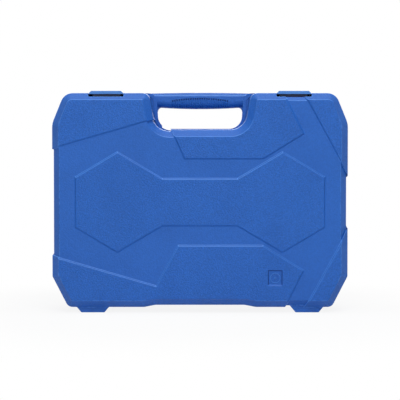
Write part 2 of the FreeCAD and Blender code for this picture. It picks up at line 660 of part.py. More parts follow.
def ratchet_pawl():
    """The rocking pawl, cut to mesh with the wheel at both of its settings."""
    blank = Part.makeCylinder(5.0, GEAR_Z[1] - GEAR_Z[0], Vector(PAWL_X, 0, GEAR_Z[0]))
    blank = blank.fuse(box((10.5, PAWL_X), (-7.5, 7.5), GEAR_Z))
    blank = blank.cut(Part.makeCylinder(GEAR_ROOT_R + 0.2, 20, Vector()))
    blank = blank.cut(Part.makeCylinder(2.0, 20, Vector(PAWL_X, 0, 0)))
    for i in range(PAWL_STEPS + 1):
        tool = gear_shape(0.2, 0, 20)
        tool.rotate(Vector(PAWL_X, 0, 0), Z_AXIS, PAWL_SWING * i / PAWL_STEPS)
        blank = blank.cut(tool)
    return max(blank.removeSplitter().Solids, key=lambda s: s.Volume)


def ratchet_selector():
    """Thumb lever and its stem, set over to one side."""
    stem = Part.makeCylinder(1.9, 12, Vector(PAWL_X, 0, 4.0))
    stem = stem.fuse(Part.makeCylinder(3.0, HEAD_H - CAVITY_Z[1] + 0.6, Vector(PAWL_X, 0, CAVITY_Z[1])))
    top = HEAD_H + 0.4
    hub = Part.makeCylinder(5.5, 3.2, Vector(PAWL_X, 0, top))
    arm = box((PAWL_X, PAWL_X + 13), (-3.2, 3.2), (top, top + 3.2))
    thumb = Part.makeCylinder(4.2, 4.6, Vector(PAWL_X + 13, 0, top))
    lever = stem.fuse(hub).fuse(arm).fuse(thumb)
    lever.rotate(Vector(PAWL_X, 0, 0), Z_AXIS, SELECTOR_REST)
    return solid_of(lever)


def ratchet_grip():
    """The soft grip sleeve: barrelled, with finger rings and a rounded butt."""
    rings = []
    length = GRIP_END - GRIP_START
    for i in range(25):
        t = i / 24
        swell = GRIP_R * (0.80 + 0.20 * math.sin(math.pi * (0.12 + 0.76 * t)))
        ring = 0.7 if i % 4 == 2 and i > 4 else 0.0
        rings.append((swell - ring, length * t))
    profile = [(TANG_R, 0.0)] + rings[:-1]
    profile += [(GRIP_R * 0.72, length - 1.0), (GRIP_R * 0.5, length), (0, length)]
    profile += [(0, TANG_END - GRIP_START), (TANG_R, TANG_END - GRIP_START)]
    sleeve = turned(profile)
    sleeve.rotate(Vector(), Y_AXIS, 90)
    sleeve.translate(Vector(GRIP_START, 0, HEAD_H / 2))
    return solid_of(sleeve)


def ratchet_pockets():
    """The tray space of a ratchet and the sheet around it, in the ratchet's own frame."""
    rooms = []
    for grow in (POCKET_GAP, POCKET_GAP + SHEET):
        head = pear(HEAD_R + grow, HEAD_REACH, HEAD_TAIL + grow, -grow + POCKET_GAP, HEAD_H / 2)
        drive = Part.makeCylinder(10.5 + grow, 18.0, Vector(0, 0, -16.0 - grow))
        middle = HEAD_H / 2
        handle = cylinder((HEAD_REACH, 0, middle), X_AXIS, GRIP_START - HEAD_REACH, HEAD_TAIL * 0.7 + grow)
        grip_room = GRIP_END - GRIP_START + 2 * grow
        sleeve = cylinder((GRIP_START - grow, 0, middle), X_AXIS, grip_room, GRIP_R + grow)
        rooms.append(head.fuse(drive).fuse(handle).fuse(sleeve))
    return rooms


def ratchet_pieces(factor, side):
    """Every piece of one ratchet, in its own frame."""
    pieces = {
        "handle": ratchet_handle(), "cover_plate": ratchet_cover(), "cover_screws": ratchet_screws(),
        "drive_gear": ratchet_drive(side / factor), "release_button": ratchet_button(),
        "pawl": ratchet_pawl(), "selector_lever": ratchet_selector(), "grip": ratchet_grip(),
    }
    return {name: shape.scaled(factor) for name, shape in pieces.items()}


def place_ratchet(shape, at, axis_y, factor):
    """Lays a ratchet in the tray with its drive pointing into the tray."""
    return stand_up(shape, at[0], axis_y + HEAD_H / 2 * factor, at[1])


def along_x(shape, x, z, axis_y):
    """Turns a tool modelled on Z so that it lies along X, partly sunk in the tray."""
    laid = shape.copy()
    laid.rotate(Vector(), Y_AXIS, 90)
    laid.translate(Vector(x, axis_y, z))
    return laid


def make_extension(length, side):
    """Extension bar: drive square at one end, female square in the wider other end."""
    collar, rod = side * 0.92, side * 0.55
    head = side * 2.7
    body = turned([
        (0, 0), (collar - 0.8, 0), (collar, 0.8), (collar, head), (rod, head + collar - rod),
        (rod, length - side * 2.2), (side * 0.74, length - side * 2.0), (side * 0.74, length - side * 1.25),
        (0, length - side * 1.25),
    ])
    stub = square(side, length - side * 1.3, side * 1.3)
    stub = stub.makeChamfer(side * 0.08, [e for e in stub.Edges if e.CenterOfMass.z > length - 0.1])
    return solid_of(body.fuse(stub).cut(square(side + SQUARE_GAP, -1, side * 1.3 + 1)))


def make_spark_socket(size):
    """Deep plug socket with its drive square at one end."""
    mouth = mouth_radius(size, False)
    body = turned([
        (0, 0), (10.4, 0), (11.0, 0.6), (11.0, 18), (mouth, 18 + abs(mouth - 11.0) + 1.0),
        (mouth, SPARK_LEN - 0.6), (mouth - 0.6, SPARK_LEN), (0, SPARK_LEN),
    ])
    body = body.cut(hexagon(size, SPARK_LEN - 20, 21)).cut(Part.makeCylinder(size / 2, 50, Vector(0, 0, 17)))
    return solid_of(body.cut(square(HALF_SQUARE + SQUARE_GAP, -1, 20)))


def make_spark_insert(size):
    """Rubber ring that grips the plug."""
    outer = size / 2
    return turned([(outer * 0.62, 30), (outer, 30), (outer, 40), (outer * 0.7, 40)])


def make_spinner_shaft():
    """Steel blade of the spinner handle with its drive square."""
    rod = Part.makeCylinder(3.8, 66, Vector(0, 0, -20)).fuse(Part.makeCylinder(5.4, 8, Vector(0, 0, 38)))
    stub = square(QUARTER_SQUARE, 45, 8)
    return solid_of(rod.fuse(stub))


def make_spinner_grip():
    """Fluted grip of the spinner handle."""
    body = turned([
        (3.8, 0), (9, 0), (10.5, -6), (9.5, -16), (13.2, -32), (14.0, -55), (13.0, -78), (10.0, -90),
        (6.0, -94), (0, -94), (0, -20), (3.8, -20),
    ])
    for i in range(6):
        a = math.pi * i / 3
        body = body.cut(Part.makeCylinder(4.0, 46, Vector(16.2 * math.cos(a), 16.2 * math.sin(a), -80)))
    return solid_of(body)


def make_adapter():
    """Bit adapter: female quarter-inch square at one end, hexagon bore at the other."""
    body = turned([(0, 0), (5.9, 0), (6.5, 0.6), (6.5, 14), (5.6, 15.5), (5.6, 27), (5.2, 27.6), (0, 27.6)])
    body = body.cut(square(QUARTER_SQUARE + SQUARE_GAP, -1, 9))
    return solid_of(body.cut(hexagon(BIT_AF + SQUARE_GAP, 14, 20)))


def make_bit(kind):
    """One hexagon-shank bit with its tip up."""
    body = hexagon(BIT_AF, 0, 17).fuse(Part.makeCone(BIT_AF / 2, 2.4, 3, Vector(0, 0, 17)))
    tip_z = 20.0
    if kind == "hex":
        return solid_of(body.fuse(hexagon(4.0, tip_z, BIT_LEN - tip_z)))
    rod = Part.makeCylinder(2.4, BIT_LEN - tip_z, Vector(0, 0, tip_z))
    if kind == "slotted":
        for side in (1, -1):
            rod = rod.cut(box((-5, 5), (side * 0.5, side * 5), (tip_z + 3, BIT_LEN + 1)))
        return solid_of(body.fuse(rod))
    rod = Part.makeCone(2.4, 0.9, BIT_LEN - tip_z, Vector(0, 0, tip_z))
    for sx in (1, -1):
        for sy in (1, -1):
            rod = rod.cut(box((sx * 0.45, sx * 5), (sy * 0.45, sy * 5), (tip_z + 3, BIT_LEN + 1)))
    return solid_of(body.fuse(rod))


BIT_KINDS = ["hex", "slotted", "cross"]


def bit_places(row):
    """Where the bits of one row stand."""
    x0, z0 = BIT_BLOCK
    z = z0 + (row - (BIT_ROWS - 1) / 2) * BIT_PITCH
    return [(x0 + (i - (BIT_COLUMNS - 1) / 2) * BIT_PITCH, z) for i in range(BIT_COLUMNS)]


def make_tray():
    """The base's inner wall: a plate with a fitted pocket for every tool."""
    rooms, walls = [], []

    def add(pair):
        rooms.append(pair[0])
        walls.append(pair[1])

    for sizes, row, quarter in SOCKET_ROWS:
        for _, x, z, radius in row_places(sizes, row, quarter):
            add(cup(x, z, radius, socket_foot(quarter)))
    for at, axis_y, factor, _ in RATCHETS.values():
        room, wall = (place_ratchet(s.scaled(factor), at, axis_y, factor) for s in ratchet_pockets())
        add((room, wall.common(box((-300, 300), (TRAY_Y, 60), (0, 300)))))
    for (x, z, length), axis_y, side in EXTENSIONS.values():
        add(trough(x, x + length, z, side * 0.92, axis_y))
    for size, (x, z) in SPARK_SIZES.items():
        add(trough(x, x + SPARK_LEN, z, max(mouth_radius(size, False), 11.0), LONG_TOOL_Y))
    add(trough(SPINNER_AT[0], SPINNER_AT[0] + 147.0, SPINNER_AT[1], 14.0, LONG_TOOL_Y))
    add(trough(ADAPTER_AT[0], ADAPTER_AT[0] + 27.6, ADAPTER_AT[1], 6.5, SMALL_TOOL_Y))
    half_w, half_h = BIT_COLUMNS * BIT_PITCH / 2, BIT_ROWS * BIT_PITCH / 2
    x, z = BIT_BLOCK
    walls.append(box((x - half_w, x + half_w), (TRAY_Y, BIT_FLOOR_Y + SHEET), (z - half_h, z + half_h)))
    for row in range(BIT_ROWS):
        for bx, bz in bit_places(row):
            rooms.append(stand_up(hexagon(BIT_AF + 2 * POCKET_GAP, 0, BIT_LEN), bx, BIT_FLOOR_Y, bz))
    plate = slab(TRAY_INSET, TRAY_Y, TRAY_Y + SHEET)
    for x in (-LATCH_X, LATCH_X):
        plate = plate.cut(recess(x, (-2, RECESS_BASE_Y + WALL + 0.3), WALL + 0.3))
    return solid_of(plate.multiFuse(walls).cut(rooms))


SOCKET_ROWS = [
    (LARGE_HALF_SIZES, LARGE_HALF_ROW, False),
    (SMALL_HALF_SIZES, SMALL_HALF_ROW, False),
    (QUARTER_SIZES, QUARTER_ROW, True),
]
EXTENSIONS = {
    "extension_half_long": (EXTENSION_LONG, LONG_TOOL_Y, HALF_SQUARE),
    "extension_half_short": (EXTENSION_SHORT, LONG_TOOL_Y, HALF_SQUARE),
    "extension_quarter": (EXTENSION_QUARTER, SMALL_TOOL_Y, QUARTER_SQUARE),
}
RATCHETS = {
    "half": (RATCHET_HALF_AT, RATCHET_HALF_Y, 1.0, HALF_SQUARE),
    "quarter": (RATCHET_QUARTER_AT, SMALL_TOOL_Y, RATCHET_QUARTER_SCALE, QUARTER_SQUARE),
}


def all_nodes():
    """Every piece of the set by name."""
    nodes = {
        "base_shell": make_base_shell(), "lid_shell": make_lid_shell(),
        "tool_tray": make_tray(), "lid_liner": make_lid_liner(),
    }
    for name, sign in (("left", -1), ("right", 1)):
        nodes[f"hinge_pin_{name}"] = make_hinge_pin(sign * HINGE_X)
        nodes[f"latch_{name}"] = make_latch(sign * LATCH_X)
        nodes[f"latch_pin_{name}"] = make_latch_pin(sign * LATCH_X)
    for sizes, row, quarter in SOCKET_ROWS:
        for size, x, z, _ in row_places(sizes, row, quarter):
            name = f"socket_{'quarter' if quarter else 'half'}_{size}mm"
            nodes[name] = stand_up(make_socket(size, quarter), x, socket_foot(quarter), z)
    for name, (at, axis_y, factor, side) in RATCHETS.items():
        for piece, shape in ratchet_pieces(factor, side).items():
            nodes[f"ratchet_{name}_{piece}"] = place_ratchet(shape, at, axis_y, factor)
    for name, ((x, z, length), axis_y, side) in EXTENSIONS.items():
        nodes[name] = along_x(make_extension(length, side), x, z, axis_y)
    for size, (x, z) in SPARK_SIZES.items():
        nodes[f"spark_socket_{size}mm"] = along_x(make_spark_socket(size), x, z, LONG_TOOL_Y)
    inserts = [along_x(make_spark_insert(size), x, z, LONG_TOOL_Y) for size, (x, z) in SPARK_SIZES.items()]
    nodes["spark_socket_inserts"] = Part.makeCompound(inserts)
    spinner_x, spinner_z = SPINNER_AT
    nodes["spinner_shaft"] = along_x(make_spinner_shaft(), spinner_x + 94.0, spinner_z, LONG_TOOL_Y)
    nodes["spinner_grip"] = along_x(make_spinner_grip(), spinner_x + 94.0, spinner_z, LONG_TOOL_Y)
    nodes["bit_adapter"] = along_x(make_adapter(), *ADAPTER_AT, SMALL_TOOL_Y)
    for row, kind in enumerate(BIT_KINDS):
        bits = [stand_up(make_bit(kind), x, BIT_FLOOR_Y, z) for x, z in bit_places(row)]
        nodes[f"bits_{kind}"] = Part.makeCompound(bits)
    return nodes


def main():
    """Writes one STEP file for each piece."""
    os.makedirs("parts", exist_ok=True)
    for name, shape in all_nodes().items():
        shape.translate(Vector(0, PARTING_Y, 0))
        shape.exportStep(f"parts/{name}.step")


main()
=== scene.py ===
"""Dresses the closed socket wrench case and the tools inside it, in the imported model's own frame.

Metres throughout: X to the right, Y to the rear, Z up, the lid's face towards -Y.
"""
import json
import logging
import math
from dataclasses import dataclass, field
from enum import Enum

import bmesh
import bpy
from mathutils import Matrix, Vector


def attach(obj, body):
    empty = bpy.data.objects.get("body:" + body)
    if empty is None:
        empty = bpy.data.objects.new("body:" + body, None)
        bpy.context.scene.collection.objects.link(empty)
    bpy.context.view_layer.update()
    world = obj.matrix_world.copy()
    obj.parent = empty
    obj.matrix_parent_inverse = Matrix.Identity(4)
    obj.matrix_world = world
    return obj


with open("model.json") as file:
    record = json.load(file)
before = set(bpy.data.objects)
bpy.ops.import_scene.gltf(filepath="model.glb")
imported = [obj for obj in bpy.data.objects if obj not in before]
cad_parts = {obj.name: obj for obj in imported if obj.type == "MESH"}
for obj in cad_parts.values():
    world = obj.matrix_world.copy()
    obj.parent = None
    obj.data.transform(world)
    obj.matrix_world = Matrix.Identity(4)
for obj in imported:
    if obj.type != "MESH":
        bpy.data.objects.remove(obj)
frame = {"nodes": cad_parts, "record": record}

LOG = logging.getLogger("socket_case")
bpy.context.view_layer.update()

# What a node's input can take: another node's output, a number, or a colour or vector.
Feed = bpy.types.NodeSocket | float | tuple[float, ...]
Colour = tuple[float, float, float]
Opaque = tuple[float, float, float, float]

# X and Z of the middle of the lid's square recess.
RECESS_MIDDLE = (0.097, 0.0455)


class Socket(Enum):
    """Kinds of value that pass in and out of a node group."""

    VALUE = "NodeSocketFloat"
    COLOUR = "NodeSocketColor"


class Op(Enum):
    """Steps of arithmetic between nodes."""

    ADD = "ADD"
    SUBTRACT = "SUBTRACT"
    MULTIPLY = "MULTIPLY"
    DIVIDE = "DIVIDE"
    MULTIPLY_ADD = "MULTIPLY_ADD"
    ABSOLUTE = "ABSOLUTE"
    MAXIMUM = "MAXIMUM"
    LESS_THAN = "LESS_THAN"
    GREATER_THAN = "GREATER_THAN"
    COSINE = "COSINE"


class Slot(Enum):
    """The record's material slots."""

    CASE = "case_blue"
    INNER = "inner_blue"
    LATCH = "latch_blue"
    PIN = "steel_pin"
    GRIP = "grip_black"
    LEVER = "black_lever"
    DARK_STEEL = "dark_steel"
    INSERT = "insert_rubber"
    CHROME = "chrome"


def opaque(colour: Colour) -> Opaque:
    """A colour with full alpha, as colour sockets take it."""
    return (*colour, 1.0)


class Tree:
    """A node tree with short calls for adding and joining nodes."""

    # The Mix node's colour sockets by number, because its sockets of other kinds share their names.
    MIX_LOW = 6
    MIX_HIGH = 7
    MIX_RESULT = 2

    def __init__(self, tree: bpy.types.NodeTree) -> None:
        """Takes over an empty or ready node tree."""
        self.tree = tree

    def add(self, kind: str, **settings: object) -> bpy.types.Node:
        """Adds a node and sets its plain properties.

        Args:
            kind: Blender's name for the node type.
            **settings: properties of the node by name.

        Returns:
            The new node.
        """
        node = self.tree.nodes.new(kind)
        for name, value in settings.items():
            setattr(node, name, value)
        return node

    def feed(self, target: bpy.types.NodeSocket, source: Feed) -> None:
        """Joins a socket to another, or gives it a plain value.

        Args:
            target: the input that is fed.
            source: what feeds it.
        """
        if isinstance(source, bpy.types.NodeSocket):
            self.tree.links.new(source, target)
        else:
            target.default_value = source

    def group(self, effect: bpy.types.NodeTree, **values: Feed) -> bpy.types.NodeOutputs:
        """Places a shared effect with its own values.

        Args:
            effect: the node group.
            **values: what feeds the group's inputs, by their names.

        Returns:
            The group node's outputs.
        """
        node = self.add("ShaderNodeGroup", node_tree=effect)
        for name, value in values.items():
            self.feed(node.inputs[name], value)
        return node.outputs

    def place(self) -> bpy.types.NodeSocket:
        """The position of each point of the surface, in the shared frame."""
        return self.add("ShaderNodeTexCoord").outputs["Object"]

    def axes(self, vector: Feed) -> tuple[bpy.types.NodeSocket, ...]:
        """Splits a vector.

        Args:
            vector: a position or a direction.

        Returns:
            Its X, Y and Z.
        """
        node = self.add("ShaderNodeSeparateXYZ")
        self.feed(node.inputs["Vector"], vector)
        return tuple(node.outputs[axis] for axis in "XYZ")

    def maths(self, operation: Op, *values: Feed, clamp: bool = False) -> bpy.types.NodeSocket:
        """One step of arithmetic.

        Args:
            operation: what is done.
            *values: sockets or numbers, in order.
            clamp: keeps the result between 0 and 1.

        Returns:
            The result's socket.
        """
        node = self.add("ShaderNodeMath", operation=operation.value, use_clamp=clamp)
        for target, value in zip(node.inputs, values):
            self.feed(target, value)
        return node.outputs["Value"]

    def times(self, first: Feed, *others: Feed) -> bpy.types.NodeSocket:
        """Multiplies values, which for masks gives the places where all of them hold.

        Args:
            first: a socket or number.
            *others: the values it is multiplied by.

        Returns:
            The product's socket.
        """
        product = first
        for other in others:
            product = self.maths(Op.MULTIPLY, product, other)
        return product

    def away(self, value: Feed, middle: Feed) -> bpy.types.NodeSocket:
        """How far a value lies from a middle, to either side."""
        return self.maths(Op.ABSOLUTE, self.maths(Op.SUBTRACT, value, middle))

    def between(self, value: Feed, low: Feed, high: Feed) -> bpy.types.NodeSocket:
        """A mask that is 1 where a value lies between two others."""
        above = self.maths(Op.GREATER_THAN, value, low)
        return self.times(above, self.maths(Op.LESS_THAN, value, high))

    def blend(self, share: Feed, low: Feed, high: Feed) -> bpy.types.NodeSocket:
        """Mixes two colours.

        Args:
            share: from 0 to 1.
            low: the colour at 0.
            high: the colour at 1.

        Returns:
            The mixed colour's socket.
        """
        node = self.add("ShaderNodeMix", data_type="RGBA")
        self.feed(node.inputs["Factor"], share)
        self.feed(node.inputs[self.MIX_LOW], low)
        self.feed(node.inputs[self.MIX_HIGH], high)
        return node.outputs[self.MIX_RESULT]

    def ramp(self, value: Feed, low: Feed, high: Feed) -> bpy.types.NodeSocket:
        """A smooth step from 0 to 1.

        Args:
            value: what the step depends on.
            low: the value up to which it is 0.
            high: the value from which it is 1.

        Returns:
            The step's socket.
        """
        node = self.add("ShaderNodeMapRange", interpolation_type="SMOOTHSTEP")
        self.feed(node.inputs["Value"], value)
        self.feed(node.inputs["From Min"], low)
        self.feed(node.inputs["From Max"], high)
        return node.outputs["Result"]

    def noise(self, where: Feed, scale: Feed, detail: float = 2.0) -> bpy.types.NodeSocket:
        """Soft noise over a position.

        Args:
            where: the position.
            scale: how fine the noise is, per metre.
            detail: how many finer layers it has.

        Returns:
            The socket of its value, from 0 to 1.
        """
        node = self.add("ShaderNodeTexNoise")
        self.feed(node.inputs["Vector"], where)
        self.feed(node.inputs["Scale"], scale)
        self.feed(node.inputs["Detail"], detail)
        return node.outputs["Fac"]


class GroupTree(Tree):
    """The inside of a shared shader node group, with its own inputs and outputs at hand."""

    def __init__(
        self, name: str, inputs: dict[str, float | Opaque], outputs: dict[str, Socket]
    ) -> None:
        """Makes an empty group.

        Args:
            name: the group's name.
            inputs: first value of each input by name, a number or a colour.
            outputs: kind of each output by name.
        """
        super().__init__(bpy.data.node_groups.new(name, "ShaderNodeTree"))
        for label, first in inputs.items():
            kind = Socket.COLOUR if isinstance(first, tuple) else Socket.VALUE
            socket = self.tree.interface.new_socket(label, in_out="INPUT", socket_type=kind.value)
            socket.default_value = first
        for label, kind in outputs.items():
            self.tree.interface.new_socket(label, in_out="OUTPUT", socket_type=kind.value)
        self.source = self.add("NodeGroupInput").outputs
        self.result = self.add("NodeGroupOutput").inputs


@dataclass
class Effects:
    """The surface effects that finishes are made of, each one a node group that is built once.

    Attributes:
        drift: noise values between which a colour drifts to its shade.
        drift_detail: finer layers of that noise.
        speck_ratio: fine specks of the grain per grain cell.
        speck_height: height of a speck against that of a cell.
        patch: noise values between which a rubbed patch fades in.
        patch_detail: finer layers of that noise.
        hairline: noise values between which a hairline fades in.
        hairline_squeeze: how much finer the hairlines' noise is along X, Y and Z.
        hairline_ratio: hairlines per rubbed patch.
        hairline_share: strength of a hairline against that of a patch.
        fleck_detail: finer layers of the flecks' noise.
        upward: how far upwards an edge faces where its painted highlight starts, and where it is full.
        wear: noise values between which the border's wear fades in.
        wear_scale: how fine that noise is, per metre.
        mottle, grain, scuffs, flecks, pocket_shade, recess_sides, edge_highlight_and_wear,
        handle_highlight_and_shadow: the groups.
    """

    drift: tuple[float, float] = (0.35, 0.7)
    drift_detail: float = 3.0
    speck_ratio: float = 2.3
    speck_height: float = 0.5
    patch: tuple[float, float] = (0.5, 0.75)
    patch_detail: float = 4.0
    hairline: tuple[float, float] = (0.55, 0.8)
    hairline_squeeze: tuple[float, float, float] = (1.0, 6.0, 9.0)
    hairline_ratio: float = 8.0
    hairline_share: float = 0.6
    fleck_detail: float = 1.0
    upward: tuple[float, float] = (0.2, 0.5)
    wear: tuple[float, float] = (0.35, 0.6)
    wear_scale: float = 260.0
    mottle: bpy.types.NodeTree = field(init=False)
    grain: bpy.types.NodeTree = field(init=False)
    scuffs: bpy.types.NodeTree = field(init=False)
    flecks: bpy.types.NodeTree = field(init=False)
    pocket_shade: bpy.types.NodeTree = field(init=False)
    recess_sides: bpy.types.NodeTree = field(init=False)
    edge_highlight_and_wear: bpy.types.NodeTree = field(init=False)
    handle_highlight_and_shadow: bpy.types.NodeTree = field(init=False)

    def __post_init__(self) -> None:
        """Builds every group once."""
        self.mottle = self.make_mottle()
        self.grain = self.make_grain()
        self.scuffs = self.make_scuffs()
        self.flecks = self.make_flecks()
        self.pocket_shade = self.make_pocket_shade()
        self.recess_sides = self.make_recess_sides()
        self.edge_highlight_and_wear = self.make_edge_highlight_and_wear()
        self.handle_highlight_and_shadow = self.make_handle_highlight_and_shadow()

    def make_mottle(self) -> bpy.types.NodeTree:
        """Slow colour variation of moulded or plated surfaces.

        Returns:
            The group.
        """
        grey, darker_grey = opaque((0.5, 0.5, 0.5)), opaque((0.4, 0.4, 0.4))
        tree = GroupTree(
            "colour_mottle",
            {"Colour": grey, "Shade": darker_grey, "Scale": 20.0},
            {"Colour": Socket.COLOUR},
        )
        cloud = tree.noise(tree.place(), tree.source["Scale"], self.drift_detail)
        share = tree.ramp(cloud, *self.drift)
        colour = tree.blend(share, tree.source["Colour"], tree.source["Shade"])
        tree.feed(tree.result["Colour"], colour)
        return tree.tree

    def make_grain(self) -> bpy.types.NodeTree:
        """The fine pebbled grain of a moulding tool, as a height.

        Returns:
            The group.
        """
        tree = GroupTree("moulded_grain", {"Scale": 900.0, "Depth": 1.0}, {"Height": Socket.VALUE})
        where = tree.place()
        cells = tree.add("ShaderNodeTexVoronoi", feature="SMOOTH_F1")
        tree.feed(cells.inputs["Vector"], where)
        tree.feed(cells.inputs["Scale"], tree.source["Scale"])
        speck = tree.noise(where, tree.times(tree.source["Scale"], self.speck_ratio))
        height = tree.maths(Op.ADD, cells.outputs["Distance"], tree.times(speck, self.speck_height))
        tree.feed(tree.result["Height"], tree.times(height, tree.source["Depth"]))
        return tree.tree

    def make_scuffs(self) -> bpy.types.NodeTree:
        """Faint rubbed patches, and hairlines drawn out along X, as a mask.

        Returns:
            The group.
        """
        tree = GroupTree("handling_scuffs", {"Scale": 30.0, "Amount": 0.5}, {"Mask": Socket.VALUE})
        where = tree.place()
        patch = tree.ramp(tree.noise(where, tree.source["Scale"], self.patch_detail), *self.patch)
        stretch = tree.add("ShaderNodeMapping")
        stretch.inputs["Scale"].default_value = self.hairline_squeeze
        tree.feed(stretch.inputs["Vector"], where)
        fine = tree.times(tree.source["Scale"], self.hairline_ratio)
        lines = tree.ramp(tree.noise(stretch.outputs["Vector"], fine), *self.hairline)
        mask = tree.maths(Op.ADD, patch, tree.times(lines, self.hairline_share), clamp=True)
        tree.feed(tree.result["Mask"], tree.times(mask, tree.source["Amount"]))
        return tree.tree

    def make_flecks(self) -> bpy.types.NodeTree:
        """Painted light and shade of a moulded grain: lighter and darker flecks from noise, standing in
        for its lit tips and shaded valleys.

        Returns:
            The group.
        """
        tree = GroupTree(
            "grain_flecks",
            {"Colour": opaque((0.5, 0.5, 0.5)), "Scale": 450.0, "Strength": 0.1},
            {"Colour": Socket.COLOUR},
        )
        fleck = tree.noise(tree.place(), tree.source["Scale"], self.fleck_detail)
        # From 0 to 1 becomes from -1 to 1, and that becomes a factor about 1.
        swing = tree.maths(Op.MULTIPLY_ADD, fleck, 2.0, -1.0)
        factor = tree.maths(Op.MULTIPLY_ADD, swing, tree.source["Strength"], 1.0)
        scaled = tree.add("ShaderNodeVectorMath", operation="SCALE")
        tree.feed(scaled.inputs["Vector"], tree.source["Colour"])
        tree.feed(scaled.inputs["Scale"], factor)
        tree.feed(tree.result["Colour"], scaled.outputs["Vector"])
        return tree.tree

    def make_pocket_shade(self) -> bpy.types.NodeTree:
        """Painted shade in the two latch pockets, where light does not reach under the latches, as a mask
        by place.

        Returns:
            The group. Its inputs are the pockets' middles either side of X 0, their half width, their
            floor and top in Z, and their front and back in Y.
        """
        tree = GroupTree(
            "latch_pocket_shade",
            {
                "Middle": 0.1215, "Reach": 0.023, "Floor": 0.2788, "Top": 0.283,
                "Front": -0.036, "Back": 0.02,
            },
            {"Mask": Socket.VALUE},
        )
        across, depth, height = tree.axes(tree.place())
        aside = tree.away(tree.maths(Op.ABSOLUTE, across), tree.source["Middle"])
        within = tree.maths(Op.LESS_THAN, aside, tree.source["Reach"])
        level = tree.between(height, tree.source["Floor"], tree.source["Top"])
        deep = tree.between(depth, tree.source["Front"], tree.source["Back"])
        tree.feed(tree.result["Mask"], tree.times(within, level, deep))
        return tree.tree

    def make_recess_sides(self) -> bpy.types.NodeTree:
        """The sloped sides of the lid's square recess, as masks by place.

        Returns:
            The group. Its inputs are the recess's middle, its half width and height, the width of a
            side, and the Y that all of it lies in front of. Its outputs are all four sides, and the
            three that get painted shade, which leaves out the lower one.
        """
        middle_x, middle_z = RECESS_MIDDLE
        tree = GroupTree(
            "recess_sides",
            {
                "Middle X": middle_x, "Middle Z": middle_z, "Half W": 0.0095, "Half H": 0.0102,
                "Side": 0.0014, "Front": -0.03,
            },
            {"Sides": Socket.VALUE, "Shade": Socket.VALUE},
        )
        across, depth, height = tree.axes(tree.place())
        rise = tree.maths(Op.SUBTRACT, height, tree.source["Middle Z"])
        over_x = tree.maths(
            Op.SUBTRACT, tree.away(across, tree.source["Middle X"]), tree.source["Half W"]
        )
        over_z = tree.maths(Op.SUBTRACT, tree.maths(Op.ABSOLUTE, rise), tree.source["Half H"])
        over = tree.maths(Op.MAXIMUM, over_x, over_z)
        rim = tree.between(over, tree.times(tree.source["Side"], -1.0), 0.0)
        sides = tree.times(rim, tree.maths(Op.LESS_THAN, depth, tree.source["Front"]))
        lower = tree.maths(Op.SUBTRACT, tree.source["Side"], tree.source["Half H"])
        tree.feed(tree.result["Sides"], sides)
        tree.feed(tree.result["Shade"], tree.times(sides, tree.maths(Op.GREATER_THAN, rise, lower)))
        return tree.tree

    def make_edge_highlight_and_wear(self) -> bpy.types.NodeTree:
        """Where edges are painted pale, as a mask: a painted highlight on those that face upwards and a
        little to the left, and patchy wear on part of the border's.

        Returns:
            The group. Its inputs are the distance from X 0 and the height where the border starts,
            the border's share, and how much a facing along X counts as facing upwards.
        """
        tree = GroupTree(
            "painted_edge_highlight_and_wear",
            {"Border": 0.178, "Foot": 0.017, "Share": 0.5, "Lean": -0.35},
            {"Mask": Socket.VALUE},
        )
        where = tree.place()
        across, _, height = tree.axes(where)
        facing_x, _, facing_z = tree.axes(tree.add("ShaderNodeTexCoord").outputs["Normal"])
        # Painted highlight on edges that face upwards and a little to the left.
        leaning = tree.maths(Op.MULTIPLY_ADD, facing_x, tree.source["Lean"], facing_z)
        upwards = tree.ramp(leaning, *self.upward)
        aside = tree.maths(
            Op.GREATER_THAN, tree.maths(Op.ABSOLUTE, across), tree.source["Border"]
        )
        below = tree.maths(Op.LESS_THAN, height, tree.source["Foot"])
        border = tree.times(tree.maths(Op.MAXIMUM, aside, below), tree.source["Share"])
        patchy = tree.ramp(tree.noise(where, self.wear_scale), *self.wear)
        mask = tree.maths(Op.MAXIMUM, upwards, tree.times(border, patchy))
        tree.feed(tree.result["Mask"], mask)
        return tree.tree

    def make_handle_highlight_and_shadow(self) -> bpy.types.NodeTree:
        """The handle's front: a painted highlight line along its top edge, and painted shadow in its
        flutes' tops.

        Returns:
            The group. Its inputs are the handle's half width and the range of Y of its front; the
            line's height and half thickness; the flutes' half width as a row, their spacing, and the
            cosine above which a place counts as inside one; and the height of the arch of their tops
            at X 0, its fall per square metre, and half the height of the painted shadow below it.
        """
        tree = GroupTree(
            "handle_highlight_and_shadow",
            {
                "Half": 0.062, "Front": -0.0068, "Back": 0.001,
                "Line Z": 0.2825, "Line Half": 0.0007,
                "Flutes Half": 0.0372, "Pitch": 0.003, "Flute Cosine": -0.2,
                "Arch Z": 0.2792, "Arch Fall": 2.315, "Shadow Half": 0.0011,
            },
            {"Line": Socket.VALUE, "Flute Tops": Socket.VALUE},
        )
        across, depth, height = tree.axes(tree.place())
        aside = tree.maths(Op.ABSOLUTE, across)
        front = tree.between(depth, tree.source["Front"], tree.source["Back"])
        on_bar = tree.maths(Op.LESS_THAN, aside, tree.source["Half"])
        off_line = tree.away(height, tree.source["Line Z"])
        on_line = tree.maths(Op.LESS_THAN, off_line, tree.source["Line Half"])
        tree.feed(tree.result["Line"], tree.times(front, on_bar, on_line))
        fall = tree.times(across, across, tree.source["Arch Fall"])
        arch = tree.maths(Op.SUBTRACT, tree.source["Arch Z"], fall)
        below = tree.maths(Op.SUBTRACT, arch, height)
        off_shadow = tree.away(below, tree.source["Shadow Half"])
        near_top = tree.maths(Op.LESS_THAN, off_shadow, tree.source["Shadow Half"])
        turns = tree.maths(Op.DIVIDE, across, tree.source["Pitch"])
